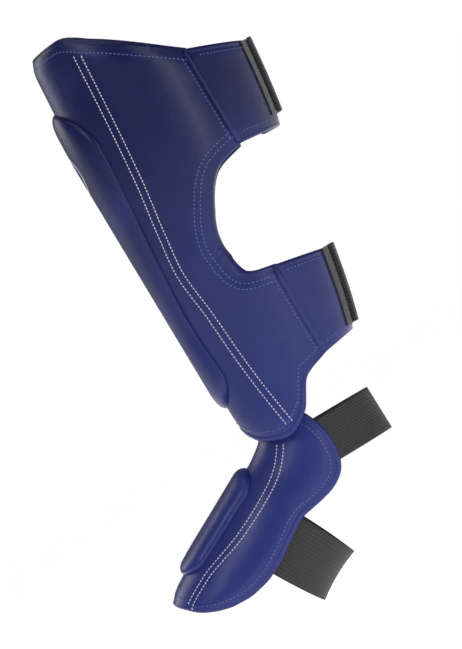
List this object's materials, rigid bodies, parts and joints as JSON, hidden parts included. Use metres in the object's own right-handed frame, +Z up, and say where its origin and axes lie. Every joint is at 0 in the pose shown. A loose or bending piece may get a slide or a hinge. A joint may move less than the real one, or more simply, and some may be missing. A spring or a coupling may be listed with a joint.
{
  "type": "shin guard",
  "caption": "Padded synthetic-leather shin and instep guard for kick boxing, with a raised centre bar, hook-and-loop calf straps and ribbed elastics at ankle and foot.",
  "frame": {"origin": "on the leg's axis, level with the middle of the ankle elastic", "axes": "+Z up the shin, -Y the front of the guard, +Y the calf side, +X the near side with the padded strap ends"},
  "size_m": [0.1525, 0.2894, 0.4963],
  "materials": {
    "shell_leather": "gloss",
    "edge_binding": "gloss",
    "padding_foam": "matte",
    "inner_textile": "matte",
    "ribbed_elastic": "matte",
    "loop_pile": "matte",
    "hook_tape": "matte",
    "closing_webbing": "matte",
    "joining_strip": "matte"
  },
  "bodies": {
    "shell": {"shin_cover": "shell_leather", "shin_foam": "padding_foam", "shin_lining": "inner_textile", "shin_binding": "edge_binding", "shin_bar_cover": "shell_leather", "shin_bar_foam": "padding_foam", "hinge_strip": "joining_strip", "upper_closure_anchor": "closing_webbing", "lower_closure_anchor": "closing_webbing"},
    "instep": {"instep_cover": "shell_leather", "instep_foam": "padding_foam", "instep_lining": "inner_textile", "instep_binding": "edge_binding", "instep_bar_cover": "shell_leather", "instep_bar_foam": "padding_foam", "ankle_elastic": "ribbed_elastic", "foot_elastic": "ribbed_elastic"},
    "upper_strap": {"upper_strap_cover": "shell_leather", "upper_strap_padding": "padding_foam", "upper_strap_lining": "inner_textile", "upper_loop_panel": "loop_pile"},
    "upper_closure": {"upper_closure_strap": "closing_webbing", "upper_hook_tape": "hook_tape"},
    "lower_strap": {"lower_strap_cover": "shell_leather", "lower_strap_padding": "padding_foam", "lower_strap_lining": "inner_textile", "lower_loop_panel": "loop_pile"},
    "lower_closure": {"lower_closure_strap": "closing_webbing", "lower_hook_tape": "hook_tape"}
  },
  "joints": [
    {"name": "instep_flex", "type": "hinge", "parent": "shell", "child": "instep", "pos_m": [0, -0.055, 0.05], "axis": [1, 0, 0], "range_deg": [-4, 25], "deforming": ["hinge_strip"]},
    {"name": "upper_closure_open", "type": "hinge", "parent": "shell", "child": "upper_closure", "pos_m": [-0.0734, 0.054, 0.282], "axis": [0, 0, 1], "range_deg": [0, 100]},
    {"name": "upper_strap_spread", "type": "hinge", "parent": "shell", "child": "upper_strap", "pos_m": [0.0671, 0.054, 0.282], "axis": [0, 0, 1], "range_deg": [-25, 0]},
    {"name": "lower_closure_open", "type": "hinge", "parent": "shell", "child": "lower_closure", "pos_m": [-0.0651, 0.0264, 0.101], "axis": [0, 0, 1], "range_deg": [0, 100]},
    {"name": "lower_strap_spread", "type": "hinge", "parent": "shell", "child": "lower_strap", "pos_m": [0.0591, 0.0264, 0.101], "axis": [0, 0, 1], "range_deg": [-25, 0]}
  ],
  "couplings": [
    {"joint": "upper_strap_spread", "follows": "upper_closure_open", "ratio": -0.25},
    {"joint": "lower_strap_spread", "follows": "lower_closure_open", "ratio": -0.25}
  ]
}
